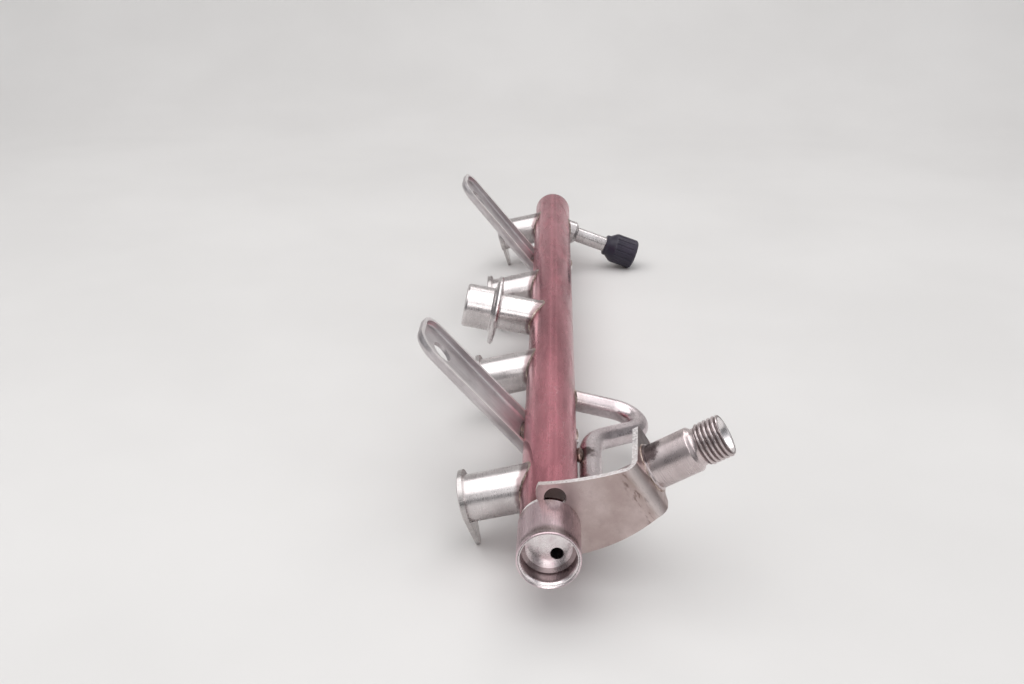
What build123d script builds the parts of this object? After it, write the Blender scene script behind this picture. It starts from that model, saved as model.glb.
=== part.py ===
from build123d import *
import math
import os

# Four-cylinder fuel rail of brazed steel: a round gallery tube with four injector sockets, a pulsation
# damper, two mounting struts, a regulator socket with the inlet bracket, a bent feed pipe and a capped
# test port.  Millimetres.
#
# Frame: the origin is the centre of the regulator socket's mouth.  +Y runs along the gallery tube, away
# from that mouth, +Z is up and +X is the side of the inlet.  The rail lies as it rests on a bench, on the
# tips of the four injector flanges and on the rim of the test port cap.

# --- Gallery tube ----------------------------------------------------------------------------------
TUBE_R = 9.5
TUBE_WALL = 1.5
TUBE_BORE_R = TUBE_R - TUBE_WALL
TUBE_END_Y = 366.0
END_CAP_LENGTH = 7.0
END_CAP_ROUND = 6.8
SPIGOT_LENGTH = 6.0

# --- Regulator socket ------------------------------------------------------------------------------
SOCKET_R = 9.93
SOCKET_LENGTH = 19.2
SOCKET_BORE_R = 8.6
SOCKET_BORE_FROM = 1.5
SOCKET_BORE_TO = 6.6
SOCKET_SEAT_R = 7.25
SOCKET_SEAT_Y = 7.3
SOCKET_FLOOR_Y = 9.6
SOCKET_FLOOR_BACK_Y = 13.4
SOCKET_GALLERY_R = 6.6
RETURN_HOLE_R = 2.1
RETURN_HOLE_X = 2.5
RETURN_HOLE_Z = -3.4
RIM_GROOVE_DEPTH = 0.3

# --- Injector sockets ------------------------------------------------------------------------------
INJECTOR_COUNT = 4
INJECTOR_PITCH = 97.0
INJECTOR_FIRST_Y = 47.1
INJECTOR_ANGLE = 193.16
CUP_R = 8.1
CUP_BORE_R = 6.75
CUP_FLOOR_S = 12.0
CUP_FEED_R = 3.0
CUP_BEAD_R = 8.55
CUP_MOUTH_S = 30.2
FLANGE_FROM_S = 28.0
FLANGE_SHEET = 1.5
FLANGE_R = 10.0
FLANGE_TAB_T = 15.2
FLANGE_TAB_R = 2.5

# --- Pulsation damper ------------------------------------------------------------------------------
DAMPER_Y = 193.0
DAMPER_ANGLE = 169.0
DAMPER_STUB_END_S = 23.4
DAMPER_NECK_R = 6.7
DAMPER_RIM_R = 15.3
DAMPER_CAN_R = 9.6
DAMPER_CAN_END_S = 39.4
DAMPER_SHEET = 1.0
DIAPHRAGM_S = 25.0
DIAPHRAGM_THICK = 0.4
SPRING_WIRE_R = 0.6
SPRING_COIL_R = 5.2
SPRING_TURNS = 4.5

# --- Mounting struts -------------------------------------------------------------------------------
STRUT_FRONT = {"y": 88.0, "angle": 131.5}
STRUT_REAR = {"y": 280.5, "angle": 129.0}
STRUT_WIDTH = 25.5
STRUT_ROOT_HEIGHT = 4.4
STRUT_TIP_HEIGHT = 3.6
STRUT_SHEET = 1.4
STRUT_LENGTH = 60.3
STRUT_CORNER_R = 8.5
STRUT_FOLD_R = 2.5
STRUT_HOLE_R = 4.3
STRUT_HOLE_S = 48.0
SADDLE_END_ANGLE = 343.0
SADDLE_WIDTH = 23.0
SADDLE_TONGUE_WIDTH = 9.0

# --- Inlet bracket, fitting and feed pipe ----------------------------------------------------------
PLATE_SHEET = 2.0
PLATE_BACK_Y = SOCKET_LENGTH + PLATE_SHEET
PLATE_RING_R = 9.6
PLATE_NOTCH = (1.7, 10.6, 3.5)
PLATE_HOOK_LOW = (-3.5, 9.2)
PLATE_HOOK_OUT = (-4.3, 12.4)
PLATE_HOOK_TOP = (-3.5, 15.0)
PLATE_TOP_MIDDLE = (12.0, 17.2)
PLATE_LOW_MIDDLE = (26.0, -2.35)
PLATE_HEEL = (8.0, -10.2)
BEND_POINT = (29.1, SOCKET_LENGTH, 11.5)
BEND_TILT = 32.0
BEND_ANGLE = 84.0
BEND_OUTER_R = 4.0
BEND_LOW_H = -8.8
BEND_TOP_H = 10.5
EAR_LENGTH = 20.8
EAR_STEP_FROM = 2.9
EAR_STEP_TO = 5.0
EAR_STEP_R = 1.8
EAR_ROUND_R = 8.9
EAR_LOW_H = -7.0
EAR_TOP_H = 11.4
INLET_H = 1.42
INLET_F = 8.12
FITTING_SHANK_R = 5.4
FITTING_SHANK_BACK = -3.6
FITTING_BODY_R = 7.3
FITTING_BODY_END = 15.0
FITTING_NECK_R = 6.1
FITTING_THREAD_R = 6.9
FITTING_THREAD_FROM = 17.3
FITTING_END = 25.9
FITTING_BORE_R = 3.0
PIPE_R = 4.0
PIPE_BORE_R = 3.0
PIPE_BEND_RADII = (9.5, 18.0, 9.5, 9.5)
PIPE_ANGLE = -13.16
PIPE_Y = 115.9
PIPE_LOOP_X = 47.2
PIPE_RETURN = (14.6, 84.0)
PIPE_RUN_END = (14.2, 52.0)
PIPE_CORNER_S = -21.6

# --- Test port -------------------------------------------------------------------------------------
PORT_Y = 336.0
PORT_ANGLE = -20.0
PORT_COLLAR_R = 6.4
PORT_COLLAR_END_S = 14.0
PORT_STUB_R = 4.0
PORT_END_S = 42.0
PORT_BORE_R = 2.6
CAP_FROM_S = 31.0
CAP_FLARE_S = 36.0
CAP_END_S = 48.6
CAP_NECK_R = 5.6
CAP_R = 8.1
CAP_SEAL_THICK = 1.2
CAP_FLUTES = 16
CAP_FLUTE_R = 0.8

LOW = (Align.CENTER, Align.CENTER, Align.MIN)


def radial_frame(y, angle):
    """Frame on the tube's axis: local Z points out at that angle from +X, local X runs along the tube."""
    out = (math.cos(math.radians(angle)), 0, math.sin(math.radians(angle)))
    return Plane(origin=(0, y, 0), x_dir=(0, 1, 0), z_dir=out)


def along_tube(y=0.0):
    """Frame whose local Z runs along the tube, with local X to the right and local Y downwards."""
    return Plane(origin=(0, y, 0), x_dir=(1, 0, 0), z_dir=(0, 1, 0))


def round_bar(radius, start, end):
    return Pos(0, 0, start) * Cylinder(radius, end - start, align=LOW)


def turned(profile):
    """Body turned about local Z from a closed outline of (radius, height) points."""
    return revolve(Plane.XZ * make_face(Polyline(*profile, close=True)), Axis.Z)


def tube_outside():
    """The space that the gallery tube fills, longer than any piece brazed to it."""
    return along_tube() * round_bar(TUBE_R, -10, TUBE_END_Y + 20)


def injector_frames():
    places = [INJECTOR_FIRST_Y + i * INJECTOR_PITCH for i in range(INJECTOR_COUNT)]
    return [radial_frame(y, INJECTOR_ANGLE) for y in places]


def damper_frame():
    return radial_frame(DAMPER_Y, DAMPER_ANGLE)


def port_frame():
    return radial_frame(PORT_Y, PORT_ANGLE)


# --- Gallery ---------------------------------------------------------------------------------------
def rail_tube():
    tube = along_tube() * (
        round_bar(TUBE_R, PLATE_BACK_Y, TUBE_END_Y) - round_bar(TUBE_BORE_R, PLATE_BACK_Y, TUBE_END_Y)
    )
    drill = round_bar(CUP_FEED_R, TUBE_BORE_R - 3, TUBE_R + 2)
    for frame in injector_frames() + [damper_frame()]:
        tube -= frame * drill
    tube -= port_frame() * round_bar(PORT_BORE_R, TUBE_BORE_R - 3, TUBE_R + 2)
    tube -= radial_frame(PIPE_Y, PIPE_ANGLE) * round_bar(PIPE_BORE_R, TUBE_BORE_R - 3, TUBE_R + 2)
    return tube


def rail_end_cap():
    outside = round_bar(TUBE_R, 0, END_CAP_LENGTH)
    outside = fillet(outside.edges().sort_by(Axis.Z)[-1], END_CAP_ROUND)
    spigot = round_bar(TUBE_BORE_R, -SPIGOT_LENGTH, 0)
    hollow_r = TUBE_BORE_R - 1.2
    hollow = round_bar(hollow_r, -SPIGOT_LENGTH, END_CAP_LENGTH - 1.6)
    hollow = fillet(hollow.edges().sort_by(Axis.Z)[-1], END_CAP_ROUND - 1.2)
    return along_tube(TUBE_END_Y) * (outside + spigot - hollow)


def regulator_socket():
    profile = [
        (0, SOCKET_FLOOR_Y),
        (SOCKET_SEAT_R, SOCKET_FLOOR_Y),
        (SOCKET_SEAT_R, SOCKET_SEAT_Y),
        (SOCKET_BORE_R, SOCKET_BORE_TO),
        (SOCKET_BORE_R, SOCKET_BORE_FROM),
        (SOCKET_BORE_R + 0.25, 0.5),
        (SOCKET_R - 0.25, 0),
        (SOCKET_R - 0.1, 0),
        (SOCKET_R, 0.2),
        (SOCKET_R, 1.3),
        (SOCKET_R - RIM_GROOVE_DEPTH, 1.8),
        (SOCKET_R - RIM_GROOVE_DEPTH, 2.9),
        (SOCKET_R, 3.6),
        (SOCKET_R, SOCKET_LENGTH),
        (TUBE_BORE_R, SOCKET_LENGTH),
        (TUBE_BORE_R, PLATE_BACK_Y + SPIGOT_LENGTH),
        (SOCKET_GALLERY_R, PLATE_BACK_Y + SPIGOT_LENGTH),
        (SOCKET_GALLERY_R, SOCKET_FLOOR_BACK_Y),
        (0, SOCKET_FLOOR_BACK_Y),
    ]
    return_hole = Pos(RETURN_HOLE_X, -RETURN_HOLE_Z, 0) * round_bar(
        RETURN_HOLE_R, SOCKET_FLOOR_Y - 1, SOCKET_FLOOR_BACK_Y + 1
    )
    return along_tube() * (turned(profile) - return_hole)


# --- Injector sockets ------------------------------------------------------------------------------
def injector_cup(frame):
    profile = [
        (CUP_FEED_R, 0),
        (CUP_R, 0),
        (CUP_R, FLANGE_FROM_S + FLANGE_SHEET),
        (CUP_BEAD_R, FLANGE_FROM_S + FLANGE_SHEET),
        (CUP_BEAD_R, CUP_MOUTH_S - 0.3),
        (CUP_BEAD_R - 0.3, CUP_MOUTH_S),
        (CUP_BORE_R + 0.9, CUP_MOUTH_S),
        (CUP_BORE_R, CUP_MOUTH_S - 1.7),
        (CUP_BORE_R, CUP_FLOOR_S + 1.2),
        (CUP_BORE_R - 1.2, CUP_FLOOR_S),
        (CUP_FEED_R, CUP_FLOOR_S),
    ]
    return frame * turned(profile) - tube_outside()


def injector_flange(frame):
    """Drop-shaped clip plate round the mouth of an injector socket, with its tab pointing down."""
    ring = Circle(FLANGE_R)
    tip = Pos(0, FLANGE_TAB_T) * Circle(FLANGE_TAB_R)
    outline = make_hull(ring.edges() + tip.edges())
    plate = extrude(outline, FLANGE_SHEET) - round_bar(CUP_R, -1, FLANGE_SHEET + 1)
    return frame * Pos(0, 0, FLANGE_FROM_S) * plate


# --- Pulsation damper ------------------------------------------------------------------------------
def damper_stub():
    profile = [
        (CUP_FEED_R, 0),
        (CUP_R, 0),
        (CUP_R, DAMPER_STUB_END_S),
        (DAMPER_NECK_R, DAMPER_STUB_END_S),
        (DAMPER_NECK_R, CUP_FLOOR_S),
        (CUP_FEED_R, CUP_FLOOR_S),
    ]
    return damper_frame() * turned(profile) - tube_outside()


def damper_base():
    """Lower shell: a neck in the stub, a dished disc and a rim crimped over the cover and diaphragm."""
    neck_bore = DAMPER_NECK_R - DAMPER_SHEET
    low = DAMPER_STUB_END_S
    profile = [
        (neck_bore, low - 6),
        (DAMPER_NECK_R, low - 6),
        (DAMPER_NECK_R, low),
        (CUP_R, low),
        (DAMPER_RIM_R - 1.0, low + 0.9),
        (DAMPER_RIM_R, low + 1.6),
        (DAMPER_RIM_R, low + 2.3),
        (DAMPER_RIM_R - 0.8, low + 3.1),
        (DAMPER_RIM_R - 2.4, low + 3.1),
        (DAMPER_RIM_R - 2.4, low + 2.6),
        (DAMPER_RIM_R - 1.2, low + 2.6),
        (DAMPER_RIM_R - 1.2, DIAPHRAGM_S),
        (DAMPER_RIM_R - 3.0, DIAPHRAGM_S),
        (neck_bore + 1.0, low + 0.8),
        (neck_bore, low - 0.2),
    ]
    return damper_frame() * turned(profile)


def damper_diaphragm():
    return damper_frame() * round_bar(DAMPER_RIM_R - 1.2, DIAPHRAGM_S, DIAPHRAGM_S + DIAPHRAGM_THICK)


def damper_cover():
    """Upper shell: the spring can, with its brim held under the crimped rim of the lower shell."""
    brim = DIAPHRAGM_S + DIAPHRAGM_THICK
    crimp_under = DAMPER_STUB_END_S + 2.6
    top = DAMPER_CAN_END_S
    inner = DAMPER_CAN_R - DAMPER_SHEET
    profile = [
        (inner, brim),
        (DAMPER_RIM_R - 1.2, brim),
        (DAMPER_RIM_R - 1.2, crimp_under),
        (DAMPER_RIM_R - 2.4, crimp_under),
        (DAMPER_RIM_R - 3.0, crimp_under + 0.6),
        (DAMPER_CAN_R + 0.6, crimp_under + 1.0),
        (DAMPER_CAN_R, crimp_under + 1.6),
        (DAMPER_CAN_R, top - 1.2),
        (DAMPER_CAN_R - 0.4, top - 0.35),
        (DAMPER_CAN_R - 1.2, top),
        (0, top),
        (0, top - DAMPER_SHEET),
        (inner, top - DAMPER_SHEET),
    ]
    return damper_frame() * turned(profile)


def damper_spring_seat():
    low = DIAPHRAGM_S + DIAPHRAGM_THICK
    profile = [
        (0, low),
        (SPRING_COIL_R + 1.4, low),
        (SPRING_COIL_R + 1.4, low + 2.0),
        (SPRING_COIL_R + 0.8, low + 2.0),
        (SPRING_COIL_R + 0.8, low + 0.8),
        (0, low + 0.8),
    ]
    return damper_frame() * turned(profile)


def damper_spring():
    """Open coil between the seat and the end of the can, with room for half a wire at each end."""
    low = DIAPHRAGM_S + DIAPHRAGM_THICK + 0.8 + SPRING_WIRE_R
    high = DAMPER_CAN_END_S - DAMPER_SHEET - SPRING_WIRE_R
    path = Helix(pitch=(high - low) / SPRING_TURNS, height=high - low, radius=SPRING_COIL_R)
    wire = sweep(Plane(origin=path @ 0, z_dir=path % 0) * Circle(SPRING_WIRE_R), path=path, is_frenet=True)
    return damper_frame() * Pos(0, 0, low) * wire


# --- Mounting struts -------------------------------------------------------------------------------
def strut_pan(frame):
    """Shallow pressed channel, lower towards its tip, with the rim carried round the tip."""
    outline = Pos(0, STRUT_LENGTH / 2) * Rectangle(STRUT_WIDTH, STRUT_LENGTH)
    outline = fillet(outline.vertices().sort_by(Axis.Y)[-2:], STRUT_CORNER_R)
    block = extrude(outline, STRUT_ROOT_HEIGHT)
    rim = block.faces().sort_by(Axis.Z)[0].edges()
    rim = [edge for edge in rim if edge.center().Y > 0.1]
    block = fillet(rim, STRUT_FOLD_R)
    inner_width = STRUT_WIDTH - 2 * STRUT_SHEET
    hollow = Pos(0, (STRUT_LENGTH - STRUT_SHEET) / 2) * Rectangle(inner_width, STRUT_LENGTH - STRUT_SHEET)
    hollow = fillet(hollow.vertices().sort_by(Axis.Y)[-2:], STRUT_CORNER_R - STRUT_SHEET)
    cavity = Pos(0, 0, STRUT_SHEET) * extrude(hollow, STRUT_ROOT_HEIGHT)
    inside = cavity.faces().sort_by(Axis.Z)[0].edges()
    inside = [edge for edge in inside if edge.center().Y > 0.1]
    cavity = fillet(inside, STRUT_FOLD_R - STRUT_SHEET)
    above = [
        (0, STRUT_ROOT_HEIGHT),
        (STRUT_LENGTH, STRUT_TIP_HEIGHT),
        (STRUT_LENGTH + 1, STRUT_TIP_HEIGHT),
        (STRUT_LENGTH + 1, STRUT_ROOT_HEIGHT + 1),
        (0, STRUT_ROOT_HEIGHT + 1),
    ]
    taper = extrude(Plane.YZ * make_face(Polyline(*above, close=True)), STRUT_WIDTH, both=True)
    pan = block - cavity - taper
    pan -= Pos(0, STRUT_HOLE_S, 0) * round_bar(STRUT_HOLE_R, -1, STRUT_SHEET + 1)
    return frame * pan


def strut_frame(y, angle):
    """Frame of a strut's sheet: local Y runs out along the strut and local Z is the open side."""
    out = Vector(math.cos(math.radians(angle)), 0, math.sin(math.radians(angle)))
    opening = Vector(out.Z, 0, -out.X)
    origin = Vector(0, y, 0) - opening * (TUBE_R + STRUT_SHEET)
    return Plane(origin=origin, x_dir=out.cross(opening), z_dir=opening)


def strut_saddle(y, angle):
    """Band that carries the channel's floor round under the tube, tapering to a tongue."""
    start = angle + 90
    band = along_tube(y - SADDLE_WIDTH / 2) * (
        round_bar(TUBE_R + STRUT_SHEET, 0, SADDLE_WIDTH) - round_bar(TUBE_R, 0, SADDLE_WIDTH)
    )
    reach = 2 * TUBE_R
    wedge_corners = [(0, 0)]
    for step in range(5):
        turn = math.radians(start + (SADDLE_END_ANGLE - start) * step / 4)
        wedge_corners.append((reach * math.cos(turn), -reach * math.sin(turn)))
    wedge = make_face(Polyline(*wedge_corners, close=True))
    band &= along_tube(y - SADDLE_WIDTH / 2) * extrude(wedge, SADDLE_WIDTH)
    wide, narrow, right = SADDLE_WIDTH / 2, SADDLE_TONGUE_WIDTH / 2, TUBE_R + STRUT_SHEET
    corners = [(-right, -wide), (-right, wide), (right, narrow), (right, -narrow)]
    tongue = make_face(Polyline(*corners, close=True))
    return band & Pos(0, y, -2 * TUBE_R) * extrude(tongue, 3 * TUBE_R)


def mounting_strut(y, angle):
    return strut_pan(strut_frame(y, angle)) + strut_saddle(y, angle) - tube_outside()


# --- Inlet bracket ---------------------------------------------------------------------------------
def bend_directions():
    """Unit vectors: across the bend in the plate, along the bend line, out of the ear and along the ear."""
    tilt, turn = math.radians(BEND_TILT), math.radians(BEND_ANGLE)
    across = Vector(math.cos(tilt), 0, math.sin(tilt))
    line = Vector(-math.sin(tilt), 0, math.cos(tilt))
    away = Vector(0, 1, 0)
    ear_out = across * math.sin(turn) - away * math.cos(turn)
    ear_along = across * math.cos(turn) + away * math.sin(turn)
    return across, line, ear_out, ear_along


def ear_plane():
    """Outer face of the ear: local X runs away from the bend, local Y up the bend line."""
    ear_out, ear_along = bend_directions()[2:]
    bend_centre = Vector(*BEND_POINT) + Vector(0, BEND_OUTER_R, 0)
    return Plane(origin=bend_centre + ear_out * BEND_OUTER_R, x_dir=ear_along, z_dir=ear_out)


def bracket_plate():
    line = bend_directions()[1]
    top = Vector(*BEND_POINT) + line * BEND_TOP_H
    low = Vector(*BEND_POINT) + line * BEND_LOW_H
    edge = [
        Line((0, TUBE_R), PLATE_HOOK_LOW),
        ThreePointArc(PLATE_HOOK_LOW, PLATE_HOOK_OUT, PLATE_HOOK_TOP),
        ThreePointArc(PLATE_HOOK_TOP, PLATE_TOP_MIDDLE, (top.X, top.Z)),
        Line((top.X, top.Z), (low.X, low.Z)),
        ThreePointArc((low.X, low.Z), PLATE_LOW_MIDDLE, PLATE_HEEL),
        Line(PLATE_HEEL, (0, -PLATE_RING_R)),
        Line((0, -PLATE_RING_R), (0, TUBE_R)),
    ]
    arm = make_face(Wire(edge))
    ring = Circle(PLATE_RING_R)
    notch_x, notch_z, notch_r = PLATE_NOTCH
    outline = arm + ring - Circle(TUBE_BORE_R) - Pos(notch_x, notch_z) * Circle(notch_r)
    front = Plane(origin=(0, SOCKET_LENGTH, 0), x_dir=(1, 0, 0), z_dir=(0, -1, 0))
    return extrude(front * outline, -PLATE_SHEET)


def bracket_bend():
    across, line = bend_directions()[:2]
    height = BEND_TOP_H - BEND_LOW_H
    section = Plane(origin=Vector(*BEND_POINT) + line * BEND_LOW_H, x_dir=(0, 1, 0), z_dir=across)
    strip = section * (Pos(PLATE_SHEET / 2, height / 2) * Rectangle(PLATE_SHEET, height))
    axis = Axis(Vector(*BEND_POINT) + Vector(0, BEND_OUTER_R, 0), line)
    return revolve(strip, axis, BEND_ANGLE)


def bracket_ear():
    corners = [
        (0, BEND_LOW_H),
        (EAR_STEP_FROM, BEND_LOW_H),
        (EAR_STEP_TO, EAR_LOW_H),
        (EAR_LENGTH, EAR_LOW_H),
        (EAR_LENGTH, EAR_TOP_H),
        (0, BEND_TOP_H),
    ]
    outline = make_face(Polyline(*corners, close=True))
    rounds = zip(corners[1:5], (EAR_STEP_R, EAR_STEP_R, EAR_ROUND_R, PLATE_SHEET))
    for corner, radius in rounds:
        outline = fillet(outline.vertices().sort_by_distance((*corner, 0))[0], radius)
    outline -= Pos(INLET_F, INLET_H) * Circle(FITTING_SHANK_R)
    return ear_plane() * extrude(outline, -PLATE_SHEET)


def inlet_bracket():
    return bracket_plate() + bracket_bend() + bracket_ear()


def inlet_frame():
    """Frame of the inlet fitting: origin on the ear's outer face, local Z out of the threaded mouth."""
    ear = ear_plane()
    return Plane(origin=ear.from_local_coords((INLET_F, INLET_H, 0)), x_dir=ear.x_dir, z_dir=ear.z_dir)


def inlet_fitting():
    profile = [
        (PIPE_R, FITTING_SHANK_BACK),
        (FITTING_SHANK_R, FITTING_SHANK_BACK),
        (FITTING_SHANK_R, 0),
        (FITTING_BODY_R + 0.5, 0),
        (FITTING_BODY_R + 0.5, 0.8),
        (FITTING_BODY_R, 1.1),
        (FITTING_BODY_R, FITTING_BODY_END),
        (FITTING_NECK_R, FITTING_BODY_END + 1.1),
        (FITTING_NECK_R, FITTING_THREAD_FROM),
        (FITTING_THREAD_R, FITTING_THREAD_FROM + 0.9),
        (FITTING_THREAD_R, FITTING_END - 0.4),
        (FITTING_THREAD_R - 0.4, FITTING_END),
        (FITTING_BORE_R + 2.4, FITTING_END),
        (FITTING_BORE_R, FITTING_END - 3.4),
        (FITTING_BORE_R, 1.5),
        (PIPE_R, 1.5),
    ]
    return inlet_frame() * turned(profile)


def feed_route():
    """Corner points of the feed pipe's centre line, from the tube's axis to the inlet fitting."""
    port = radial_frame(PIPE_Y, PIPE_ANGLE)
    inlet = inlet_frame()
    rise = math.tan(math.radians(PIPE_ANGLE))
    return [
        port.from_local_coords((0, 0, 6.5)),
        Vector(PIPE_LOOP_X, PIPE_Y, PIPE_LOOP_X * rise),
        Vector(*PIPE_RETURN, PIPE_RETURN[0] * rise),
        Vector(*PIPE_RUN_END, PIPE_RUN_END[0] * rise),
        inlet.from_local_coords((0, 0, PIPE_CORNER_S)),
        inlet.from_local_coords((0, 0, 1.5)),
    ]


def feed_pipe():
    route = FilletPolyline(*feed_route(), radius=PIPE_BEND_RADII)
    start = Plane(origin=route @ 0, z_dir=route % 0)
    pipe = sweep(start * Circle(PIPE_R), path=route) - sweep(start * Circle(PIPE_BORE_R), path=route)
    return pipe - tube_outside()


# --- Test port -------------------------------------------------------------------------------------
def test_port_body():
    profile = [
        (PORT_BORE_R, 0),
        (PORT_COLLAR_R, 0),
        (PORT_COLLAR_R, PORT_COLLAR_END_S - 1.6),
        (PORT_COLLAR_R - 1.6, PORT_COLLAR_END_S),
        (PORT_STUB_R, PORT_COLLAR_END_S + 0.4),
        (PORT_STUB_R, PORT_END_S - 0.6),
        (PORT_STUB_R - 0.6, PORT_END_S),
        (PORT_BORE_R, PORT_END_S),
    ]
    return port_frame() * turned(profile) - tube_outside()


def test_valve_core():
    """Screw-in valve core: a stepped plug with a thin pin that stands up to the mouth."""
    profile = [
        (0, 24.0),
        (1.3, 24.0),
        (1.3, 27.0),
        (1.9, 28.0),
        (1.9, 33.0),
        (PORT_BORE_R, 34.0),
        (PORT_BORE_R, 39.0),
        (0.6, 39.0),
        (0.6, PORT_END_S - 0.5),
        (0, PORT_END_S - 0.5),
    ]
    return port_frame() * turned(profile)


def test_cap_seal():
    return port_frame() * round_bar(PORT_STUB_R, PORT_END_S, PORT_END_S + CAP_SEAL_THICK)


def test_port_cap():
    roof = PORT_END_S + CAP_SEAL_THICK
    profile = [
        (PORT_STUB_R, CAP_FROM_S),
        (CAP_NECK_R - 0.5, CAP_FROM_S),
        (CAP_NECK_R, CAP_FROM_S + 0.5),
        (CAP_NECK_R, CAP_FROM_S + 2.0),
        (CAP_R - 0.3, CAP_FLARE_S),
        (CAP_R, CAP_FLARE_S + 1.0),
        (CAP_R, CAP_END_S - 0.9),
        (CAP_R - 0.9, CAP_END_S),
        (0, CAP_END_S),
        (0, roof),
        (PORT_STUB_R, roof),
    ]
    cap = turned(profile)
    flute = round_bar(CAP_FLUTE_R, CAP_FLARE_S + 0.5, CAP_END_S - 2.0)
    for i in range(CAP_FLUTES):
        cap -= Rot(0, 0, (i + 0.5) * 360 / CAP_FLUTES) * Pos(CAP_R + 0.45, 0, 0) * flute
    return port_frame() * cap


def build():
    nodes = {
        "rail_tube": rail_tube(),
        "rail_end_cap": rail_end_cap(),
        "regulator_socket": regulator_socket(),
        "inlet_bracket": inlet_bracket(),
        "inlet_fitting": inlet_fitting(),
        "feed_pipe": feed_pipe(),
        "damper_stub": damper_stub(),
        "damper_base": damper_base(),
        "damper_diaphragm": damper_diaphragm(),
        "damper_cover": damper_cover(),
        "damper_spring_seat": damper_spring_seat(),
        "damper_spring": damper_spring(),
        "strut_front": mounting_strut(**STRUT_FRONT),
        "strut_rear": mounting_strut(**STRUT_REAR),
        "test_port_body": test_port_body(),
        "test_valve_core": test_valve_core(),
        "test_cap_seal": test_cap_seal(),
        "test_port_cap": test_port_cap(),
    }
    for number, frame in enumerate(injector_frames(), start=1):
        nodes[f"injector_cup_{number}"] = injector_cup(frame)
        nodes[f"injector_flange_{number}"] = injector_flange(frame)
    return nodes


def main():
    os.makedirs("parts", exist_ok=True)
    for name, solid in build().items():
        export_step(solid, f"parts/{name}.step")


if __name__ == "__main__":
    main()
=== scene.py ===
from functools import reduce
import math

import bpy
import numpy as np
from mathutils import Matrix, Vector, noise


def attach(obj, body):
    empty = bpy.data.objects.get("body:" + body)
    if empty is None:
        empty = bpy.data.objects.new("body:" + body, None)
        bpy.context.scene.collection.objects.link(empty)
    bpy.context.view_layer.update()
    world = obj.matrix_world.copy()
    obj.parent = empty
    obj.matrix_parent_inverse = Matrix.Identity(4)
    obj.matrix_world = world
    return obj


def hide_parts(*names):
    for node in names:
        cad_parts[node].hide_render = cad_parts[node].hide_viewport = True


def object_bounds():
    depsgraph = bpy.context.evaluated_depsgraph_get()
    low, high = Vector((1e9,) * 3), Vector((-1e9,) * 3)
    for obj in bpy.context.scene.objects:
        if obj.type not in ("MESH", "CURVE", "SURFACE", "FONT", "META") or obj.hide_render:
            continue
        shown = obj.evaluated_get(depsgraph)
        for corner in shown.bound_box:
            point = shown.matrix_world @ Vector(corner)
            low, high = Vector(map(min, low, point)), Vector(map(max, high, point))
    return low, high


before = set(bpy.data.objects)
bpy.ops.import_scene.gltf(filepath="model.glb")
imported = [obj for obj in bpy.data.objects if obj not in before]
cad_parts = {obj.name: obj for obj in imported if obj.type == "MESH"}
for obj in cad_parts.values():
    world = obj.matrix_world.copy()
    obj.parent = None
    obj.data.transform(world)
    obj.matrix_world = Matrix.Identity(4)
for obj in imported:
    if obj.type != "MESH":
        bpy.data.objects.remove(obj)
CAD_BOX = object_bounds()

# --- Driving sizes and places, in millimetres and degrees --------------------------------------------
MM = 0.001

TUBE_R = 9.5
BRANCH_FOOT = TUBE_R + 1.0      # where a branch's heat tint is centred, just outside the tube

FIRST_INJECTOR = 47.1
INJECTOR_PITCH = 97.0
INJECTOR_COUNT = 4
INJECTOR_ANGLE = 193.16
DAMPER_Y, DAMPER_ANGLE = 193.0, 169.0
PORT_Y, PORT_ANGLE = 336.0, -20.0
PIPE_Y, PIPE_ANGLE = 115.9, -13.16
CUP_R = 8.1                     # the injector sockets and the damper's stub at their feet
PORT_R = 6.4
PIPE_R = 4.0

STRUTS = {"strut_front": (88.0, 131.5), "strut_rear": (280.5, 129.0)}
STRUT_SHEET = 1.4
STRUT_REACH = 60.3
RIM_HEIGHT = 4.4                # of a strut's folded rim over its floor's outer face, at the tube
RIM_FALL = 0.8                  # how much lower it is at the tip
TONGUE_ANGLE = 343.5            # of the braze tongues, at the ends of the struts' saddles

BEND_POINT = Vector((29.1, 19.2, 11.5))
BEND_TILT = 32.0
BEND_TURN = math.radians(84)
BEND_R = 4.0
INLET_ALONG, INLET_UP = 8.12, 1.42

SOCKET_BORE_R = 8.6
SOCKET_STEP_Y, SOCKET_STEP_R = 7.3, 7.25

# The inlet fitting: distances from the ear along its axis, and radii.
SHANK_FROM, SHANK_R = -3.6, 5.4
COLLAR_R, COLLAR_TO = 7.8, 0.7
BODY_R, BODY_FROM, BODY_TO = 7.3, 1.1, 14.85
NECK_R, NECK_FROM, NECK_TO = 6.1, 16.1, 17.3
THREAD_R, THREAD_FROM, THREAD_TO = 6.9, 18.2, 25.5
THREAD_PITCH, THREAD_DEPTH = 1.5, 0.62
CREST, FLANK = 0.36, 0.44       # shares of half a pitch
TIP, TIP_R = 25.9, 6.5
MOUTH_R = 5.6
BORE_R, CONE_FROM = 3.0, 22.5


# --- Directions and frames, in the row frame ---------------------------------------------------------
def radial(angle):
    """Unit vector square to the tube's axis, at that angle from +X."""
    turn = math.radians(angle)
    return Vector((math.cos(turn), 0.0, math.sin(turn)))


def square_axes(axis):
    """Two unit vectors square to an axis and to each other."""
    side = Vector((0, 0, 1)) if abs(axis.z) < 0.9 else Vector((1, 0, 0))
    u = axis.cross(side).normalized()
    return u, axis.cross(u)


ALONG = Vector((0, 1, 0))
INJECTOR_OUT = radial(INJECTOR_ANGLE)
INJECTOR_YS = [FIRST_INJECTOR + INJECTOR_PITCH * i for i in range(INJECTOR_COUNT)]
DAMPER_OUT = radial(DAMPER_ANGLE)
PORT_OUT = radial(PORT_ANGLE)
PIPE_OUT = radial(PIPE_ANGLE)

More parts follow.
